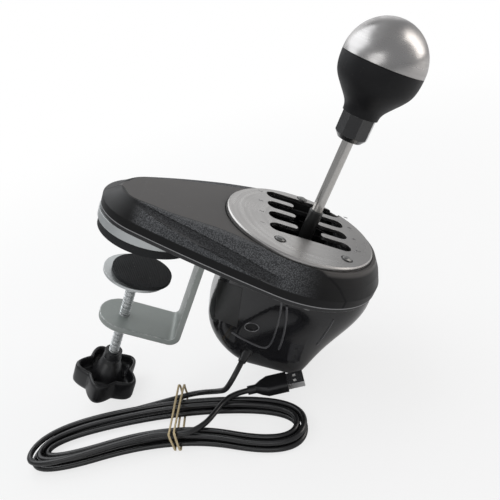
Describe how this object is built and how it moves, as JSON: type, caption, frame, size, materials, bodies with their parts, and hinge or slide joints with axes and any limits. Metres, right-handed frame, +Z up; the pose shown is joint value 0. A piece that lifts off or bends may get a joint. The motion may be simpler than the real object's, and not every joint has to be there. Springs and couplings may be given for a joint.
{
  "type": "sim racing gear shifter",
  "caption": "Gear shifter for driving games with a gated lever, round top plate, mechanism housing, table clamp and tied USB cord.",
  "frame": {"origin": "on the floor, midway along the length and width of the shifter as it lies on its clamp knob and the bottom edge of its housing", "axes": "+Z up, +X from the clamp to the gate disc, -Y the driver's left and the side with the port and the cord"},
  "size_m": [0.3168, 0.1569, 0.2355],
  "materials": {
    "brushed_disc": "brushed disc with a black border",
    "black_screw": "grey steel, pan heads",
    "liner_plastic": "moulded, matte",
    "frame_steel": "black powder coat",
    "housing_plastic": "moulded, fine grain with smooth flutes",
    "housing_gloss": "moulded, glossy black",
    "bracket_paint": "silver-grey paint on bent steel strip",
    "jaw_rubber": "matte rubber",
    "zinc_steel": "turned and plated",
    "knob_plastic": "moulded, matte",
    "port_metal": "plated",
    "port_insulator": "moulded",
    "cord_rubber": "soft cable jacket",
    "tie_rubber": "cream elastic band",
    "plug_metal": "plated shell",
    "plug_insulator": "white insulator",
    "bush_brass": "turned",
    "mechanism_steel": "ground steel",
    "yoke_metal": "cast and machined",
    "magnet_metal": "plated magnet",
    "circuit_board": "green laminate",
    "spacer_plastic": "moulded nylon",
    "lever_chrome": "polished rod",
    "sleeve_black": "moulded sleeve",
    "knob_nut_metal": "eight-sided, glossy black",
    "knob_inner_plastic": "moulded",
    "grip_rubber": "soft rubber grip",
    "ball_metal": "brushed cap"
  },
  "bodies": {
    "root": {"gate_plate": "brushed_disc", "gate_screws": "black_screw", "gate_liner": "liner_plastic", "gate_support": "frame_steel", "support_posts": "frame_steel", "top_cover": "housing_plastic", "base_plate": "frame_steel", "jaw_plate": "zinc_steel", "jaw_pad": "jaw_rubber", "clamp_bracket": "bracket_paint", "bracket_bolts": "zinc_steel", "bracket_nuts": "zinc_steel", "cover_screws": "black_screw", "housing_screws": "black_screw", "mechanism_housing": "housing_gloss", "port_shell": "port_metal", "port_core": "port_insulator", "cord_gland": "cord_rubber", "bearing_plates": "frame_steel", "bearing_bushes": "bush_brass", "centering_spring": "mechanism_steel", "select_board": "circuit_board", "main_board": "circuit_board", "board_spacers": "spacer_plastic", "cord_lead": "cord_rubber", "cord_hank": "cord_rubber", "cord_tie": "tie_rubber", "plug_lead": "cord_rubber", "plug_body": "cord_rubber", "plug_shell": "plug_metal", "plug_tongue": "plug_insulator"},
    "select_yoke": {"selector_yoke": "yoke_metal", "selector_shafts": "mechanism_steel", "detent_arc": "yoke_metal", "select_magnet": "magnet_metal"},
    "engage_carrier": {"lever_block": "yoke_metal", "lever_pin": "mechanism_steel", "detent_plunger": "mechanism_steel", "lever_guide": "yoke_metal", "press_spring": "mechanism_steel"},
    "lever": {"lever_rod": "lever_chrome", "lever_collar": "sleeve_black", "lever_sleeve": "sleeve_black", "knob_nut": "knob_nut_metal", "knob_insert": "knob_inner_plastic", "knob_grip": "grip_rubber", "knob_core": "knob_inner_plastic", "knob_cap": "ball_metal"},
    "clamp_swivel": {"swivel_disc": "zinc_steel", "swivel_rubber": "jaw_rubber"},
    "clamp_spindle": {"clamp_screw": "zinc_steel", "screw_collar": "knob_plastic", "clamp_knob": "knob_plastic", "clamp_knob_plug": "knob_plastic"}
  },
  "joints": [
    {"name": "gear_select", "type": "hinge", "parent": "root", "child": "select_yoke", "pos_m": [0.01541, 0.0026, 0.04403], "axis": [-0.8537, 0, 0.5208], "range_deg": [-12.74, 24.33], "stiffness_Nm_per_rad": 3},
    {"name": "gear_engage", "type": "hinge", "parent": "select_yoke", "child": "engage_carrier", "pos_m": [0.01541, 0.0026, 0.04403], "axis": [0, 1, 0], "range_deg": [-15.4, 13.6]},
    {"name": "lever_press", "type": "slide", "parent": "engage_carrier", "child": "lever", "axis": [-0.5342, 0, -0.8454], "range_m": [0, 0.005], "stiffness_N_per_m": 1200, "springref_m": -0.004, "deforming": ["press_spring"]},
    {"name": "clamp_travel", "type": "slide", "parent": "root", "child": "clamp_swivel", "axis": [0.5208, 0, 0.8537], "range_m": [-0.031, 0.03]},
    {"name": "clamp_screw_turn", "type": "hinge", "parent": "clamp_swivel", "child": "clamp_spindle", "pos_m": [-0.08874, 0, 0.07243], "axis": [0.5208, 0, 0.8537], "range_deg": [-5585, 5405]}
  ],
  "couplings": [
    {"joint": "clamp_screw_turn", "follows": "clamp_travel", "rad_per_m": 3141.6}
  ]
}
